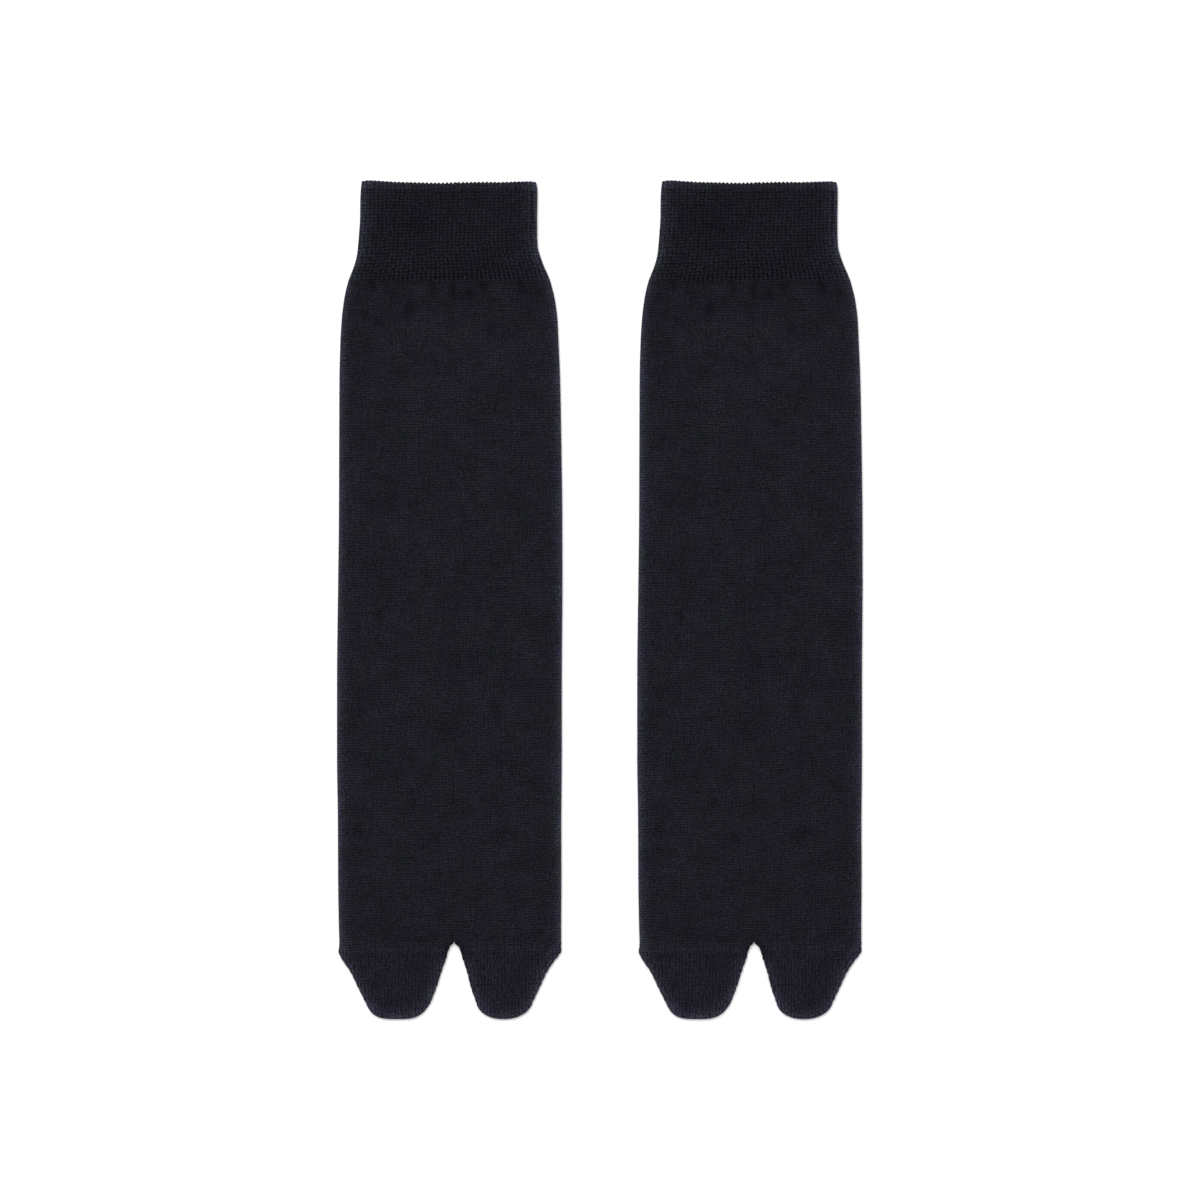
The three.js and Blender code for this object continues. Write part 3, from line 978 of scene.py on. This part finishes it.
class Shader:
    """Adds nodes to a material's tree, one call for each node."""

    def __init__(self, name):
        self.material = bpy.data.materials.new(name)
        self.material.use_nodes = True
        self.tree = self.material.node_tree
        self.tree.nodes.clear()

    def node(self, kind, inputs=(), **settings):
        node = self.tree.nodes.new(kind)
        for setting, value in settings.items():
            setattr(node, setting, value)
        for socket, value in dict(inputs).items():
            if isinstance(value, bpy.types.NodeSocket):
                self.tree.links.new(value, node.inputs[socket])
            else:
                node.inputs[socket].default_value = value
        return node

    def math(self, operation, *values):
        return self.node("ShaderNodeMath", enumerate(values), operation=operation).outputs[0]

    def attribute(self, name):
        return self.node("ShaderNodeAttribute", attribute_name=name).outputs["Fac"]

    def channels(self, kind, inputs):
        noise = self.node(kind, inputs, noise_dimensions="2D")
        return self.node("ShaderNodeSeparateColor", {0: noise.outputs["Color"]}).outputs

    def noise(self, vector, scale):
        """The channels of soft noise over the stitch coordinates. scale is in waves a stitch."""
        inputs = {"Vector": vector, "Scale": scale, "Detail": 2.0}
        return self.channels("ShaderNodeTexNoise", inputs)

    def stretched(self, vector, x, y):
        inputs = {0: vector, 1: (x, y, 1)}
        return self.node("ShaderNodeVectorMath", inputs, operation="MULTIPLY").outputs[0]

    def chances(self, cell):
        """Three chance values for each cell of whole coordinates."""
        return self.channels("ShaderNodeTexWhiteNoise", {"Vector": cell})

    def spread(self, value, amount):
        """A factor about 1 that varies by amount in all, from a value between 0 and 1."""
        return self.math("MULTIPLY_ADD", value, amount, 1 - amount / 2)

    def mottle(self, vector, scale, amount, channel=0):
        """Soft noise as a factor about 1."""
        return self.spread(self.noise(vector, scale)[channel], amount)

    def lopsided(self, chance, coordinate, amount):
        """A factor that is above 1 on one side of a stitch and as far below 1 on the other."""
        side = self.math("SINE", self.math("MULTIPLY", coordinate, 2 * np.pi))
        swing = self.math("MULTIPLY", self.math("SUBTRACT", chance, 0.5), amount)
        return self.math("MULTIPLY_ADD", swing, side, 1.0)

    def partly(self, value, weight):
        """The value where the weight is 1, and 1 where it is 0."""
        lost = self.math("MULTIPLY", self.math("SUBTRACT", 1.0, value), weight)
        return self.math("SUBTRACT", 1.0, lost)

    def surface(self, inputs):
        """Ends the tree in a principled surface with these inputs."""
        surface = self.node("ShaderNodeBsdfPrincipled", inputs)
        self.node("ShaderNodeOutputMaterial", {"Surface": surface.outputs[0]})


# The stitches' look. Scales are in waves a stitch, and reaches are in stitches.
WANDER = [(0.05, 1), (0.25, 0.5), (0.6, 0.3)]  # what shifts the stitches: (scale, reach)
STITCH_ASPECT = 1.29  # the width of a stitch over its height
LEG_LEAN = 0.18  # how far the legs of a stitch slant, in courses
CREASE = 0.55  # how deep the fold between a stitch's two legs is
CREASE_POWER, DOME_POWER, LOOP_POWER = 4.0, 2.0, 1.3
LOOP_SKEW, SKEW_CHANCE = 0.65, 0.8  # the power that skews a loop, and how much chance adds
# Painted shade between the stitches and painted highlight on their crowns.
GAP_SHADE, CROWN_HIGHLIGHT = 0.1, 1.2  # between the stitches and on them
LEAST_GRAIN = 0.05
# How much the tone varies by stitch, by leg of a stitch, by row, by fibre and by streak, the waves of
# fibre in a stitch, and the shares of the fine mottle and of the hue's swing.
LOOK_PARTS = ("stitch", "leg", "row", "fibre", "streak", "waves", "mottle", "hue")
LOOKS = {
    "rib_knit": (0.1, 0.7, 0.65, 3.2, 0.4, 2.35, 0.7, 0.95),
    "plain_knit": (0.2, 0.75, 0.75, 1.6, 0.4, 1.9, 1, 1),
    "toe_knit": (0.2, 0.9, 0.8, 1.7, 0.5, 1.9, 1, 0.6),
}
STREAK_SCALES = (1.8, 0.12)  # over a streak and along it
BROAD_SCALE, BROAD_MOTTLE = 0.08, 0.52  # of soft patches, and how much the tone varies by them
FINE_SCALE, FINE_MOTTLE = 0.25, 0.42
HUE_PATCHES = [(0.35, 1), (0.05, 0.5), (0.12, 0.8)]  # (scale, weight)
HUE_CONTRAST, HUE_OFFSET = 2.5, -2.375  # from the sum of the patches to a mix of grey and blue
UNDER_SHEEN = 0.8  # the cloth's share of its brightness. The sheen adds the rest.
MEAN_TINT = np.array([1.0, 0.995, 1.04])
TINT_SWING = np.array([0.033, -0.018, 0.145])  # from the mean to the bluest cloth
BUMP = {"Strength": 0.7, "Distance": 0.25 * MM}
FINISH = {
    "Roughness": 0.95,
    "Specular IOR Level": 0.04,
    "Sheen Weight": 0.1,
    "Sheen Roughness": 0.45,
    "Sheen Tint": (0.75, 0.78, 1, 1),
}


def wandered(shader, coordinate, noises, channel):
    """A stitch coordinate that wanders with each noise."""
    for channels, (_, reach) in zip(noises, WANDER):
        centred = shader.math("SUBTRACT", channels[channel], 0.5)
        coordinate = shader.math("MULTIPLY_ADD", centred, reach, coordinate)
    return coordinate


def stitch_height(shader, across, course, chance):
    """The height of the knit, from 0 between the stitches to 1 on them."""
    math = shader.math
    crease = math("POWER", math("SUBTRACT", 1.0, across), CREASE_POWER)
    dome = math("SUBTRACT", 1.0, math("POWER", across, DOME_POWER))
    dome = math("MULTIPLY_ADD", crease, -CREASE, dome)
    skew = math("MULTIPLY_ADD", chance, SKEW_CHANCE, LOOP_SKEW)
    along = math("POWER", math("FRACT", course), skew)
    loop = math("POWER", math("SINE", math("MULTIPLY", along, np.pi)), LOOP_POWER)
    columns = shader.partly(dome, shader.attribute("across"))
    rows = shader.partly(loop, shader.attribute("along"))
    return math("MULTIPLY", columns, rows)


def stitch_grain(shader, look, knit, patchy, wale, course, chances):
    """How the tone varies from stitch to stitch and within one, about 1."""
    over, along = STREAK_SCALES
    grain = shader.spread(chances[0], look["stitch"])
    for factor in (
        shader.lopsided(chances[2], wale, look["leg"]),
        shader.lopsided(chances[0], course, look["row"]),
        shader.mottle(patchy, look["waves"], look["fibre"]),
        shader.mottle(shader.stretched(knit, over, along), 1, look["streak"]),
        shader.mottle(shader.stretched(knit, along, over), 1, look["streak"], channel=1),
    ):
        grain = shader.math("MULTIPLY", grain, factor)
    return grain


def heather(shader, look, patchy, colour):
    """The cloth's colour, which swings between a grey and a blue in soft patches."""
    patches = 0.0
    for scale, weight in HUE_PATCHES:
        patches = shader.math("MULTIPLY_ADD", shader.noise(patchy, scale)[2], weight, patches)
    patch = shader.math("MULTIPLY_ADD", patches, HUE_CONTRAST, HUE_OFFSET)
    mean = UNDER_SHEEN * np.array(colour)
    grey, blue = (mean * (MEAN_TINT + side * look["hue"] * TINT_SWING) for side in (-1, 1))
    inputs = {"Factor": patch, 6: (*grey, 1), 7: (*blue, 1)}
    return shader.node("ShaderNodeMix", inputs, data_type="RGBA").outputs[2]


def record_entry(kind, key, value):
    """The entry of one of the record's lists whose key has this value."""
    return next(entry for entry in frame["record"][kind] if entry[key] == value)


def knit_material(name):
    """Navy-black knit whose stitches are drawn by the stitch coordinates."""
    look = dict(zip(LOOK_PARTS, LOOKS[name]))
    colour = record_entry("materials", "slot", name)["base_color"]
    shader = Shader(name)
    math = shader.math
    knit = shader.node("ShaderNodeUVMap", uv_map="knit").outputs[0]
    split = shader.node("ShaderNodeSeparateXYZ", {0: knit}).outputs
    noises = [shader.noise(knit, scale) for scale, _ in WANDER]
    patchy = shader.stretched(knit, STITCH_ASPECT, 1)
    wale = wandered(shader, split[0], noises, 0)
    across = math("MULTIPLY", math("ABSOLUTE", math("SUBTRACT", math("FRACT", wale), 0.5)), 2.0)
    course = math("MULTIPLY_ADD", across, -LEG_LEAN, wandered(shader, split[1], noises, 1))
    stitch = shader.node("ShaderNodeCombineXYZ", {0: math("FLOOR", wale), 1: math("FLOOR", course)})
    chances = shader.chances(stitch.outputs[0])

    height = stitch_height(shader, across, course, chances[1])
    grain = stitch_grain(shader, look, knit, patchy, wale, course, chances)
    # Painted shade between the stitches and painted highlight on their crowns, from the knit's
    # height.
    tone = math("MULTIPLY_ADD", height, CROWN_HIGHLIGHT - GAP_SHADE, GAP_SHADE)
    for factor in (
        math("MAXIMUM", shader.partly(grain, shader.attribute("grain")), LEAST_GRAIN),
        shader.mottle(patchy, BROAD_SCALE, BROAD_MOTTLE),
        shader.mottle(knit, FINE_SCALE, FINE_MOTTLE * look["mottle"]),
        shader.attribute("shade"),
    ):
        tone = math("MULTIPLY", tone, factor)
    hue = heather(shader, look, patchy, colour)
    base = shader.node("ShaderNodeVectorMath", {0: hue, 3: tone}, operation="SCALE")
    bump = shader.node("ShaderNodeBump", {**BUMP, "Height": height})
    shader.surface({**FINISH, "Base Color": base.outputs[0], "Normal": bump.outputs[0]})
    return shader.material


def sock_origin(name):
    """The middle of a sock's cuff edge, in millimetres, from the mount under the sock."""
    x, y, _ = record_entry("mounts", "name", name + "_underside")["pos_m"]
    return x / MM, y / MM + SOCK_LENGTH / 2


def build_sock(name, materials):
    toes_pocket = pocket_shell(TOES_OUTLINE, TOES_TIP, 1, TOES_EAR)
    big_toe_pocket = pocket_shell(BIG_TOE_OUTLINE, BIG_TOE_TIP, -1, BIG_TOE_EAR)
    shells = [
        ("cuff", cuff_shell(), True, "rib_knit"),
        ("leg_and_foot", leg_shell(), True, "plain_knit"),
        ("toes_pocket", toes_pocket, False, "toe_knit"),
        ("big_toe_pocket", big_toe_pocket, False, "toe_knit"),
    ]
    pieces = {}
    for part, shell, closed, slot in shells:
        node = f"{name}_{part}"
        piece = shell_mesh(node + "_knit", shell, closed, sock_origin(name))
        piece.data.materials.append(materials[slot])
        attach(piece, "root")
        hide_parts(node)
        pieces[part] = piece
    return pieces


# The studio, in metres and watts.
FLOOR_REACH, FLOOR_DROP, FLOOR_COLOUR = 6.0, 0.0001, (0.93, 0.93, 0.93, 1)
SKY_STRENGTH = 0.775
LIGHT_PLACE, LIGHT_SIZE, LIGHT_POWER = (-0.25, 0.6, 1.6), 0.9, 21.0
CAMERA_PLACE = (0.00028, 0, 1.334)


def build_floor():
    low, high = -FLOOR_REACH, FLOOR_REACH
    corners = [(low, low, 0), (high, low, 0), (high, high, 0), (low, high, 0)]
    mesh = bpy.data.meshes.new("floor")
    mesh.from_pydata(corners, [], [(0, 1, 2, 3)])
    floor = add_object("floor", mesh)
    floor.location.z = -FLOOR_DROP
    shader = Shader("floor_white")
    shader.surface({"Base Color": FLOOR_COLOUR, "Roughness": 1.0, "Specular IOR Level": 0.0})
    mesh.materials.append(shader.material)


def light_scene():
    world = bpy.data.worlds.new("studio")
    world.use_nodes = True
    sky = world.node_tree.nodes["Background"].inputs
    sky["Color"].default_value = (1, 1, 1, 1)
    sky["Strength"].default_value = SKY_STRENGTH
    bpy.context.scene.world = world
    lamp = bpy.data.lights.new("overhead", "AREA")
    lamp.shape = "SQUARE"
    lamp.size = LIGHT_SIZE
    lamp.energy = LIGHT_POWER
    light = add_object("overhead", lamp)
    light.location = LIGHT_PLACE
    light.rotation_euler = (-Vector(LIGHT_PLACE)).to_track_quat("-Z", "Y").to_euler()


def add_camera():
    data = bpy.data.cameras.new("camera")
    data.lens = 100
    data.sensor_width = 36
    camera = add_object("camera", data)
    camera.location = CAMERA_PLACE
    bpy.context.scene.camera = camera


knit_materials = {slot: knit_material(slot) for slot in LOOKS}
for sock_name in ("sock_a", "sock_b"):
    sock_pieces = build_sock(sock_name, knit_materials)
build_floor()
light_scene()
add_camera()
bpy.context.scene.view_settings.view_transform = "Standard"
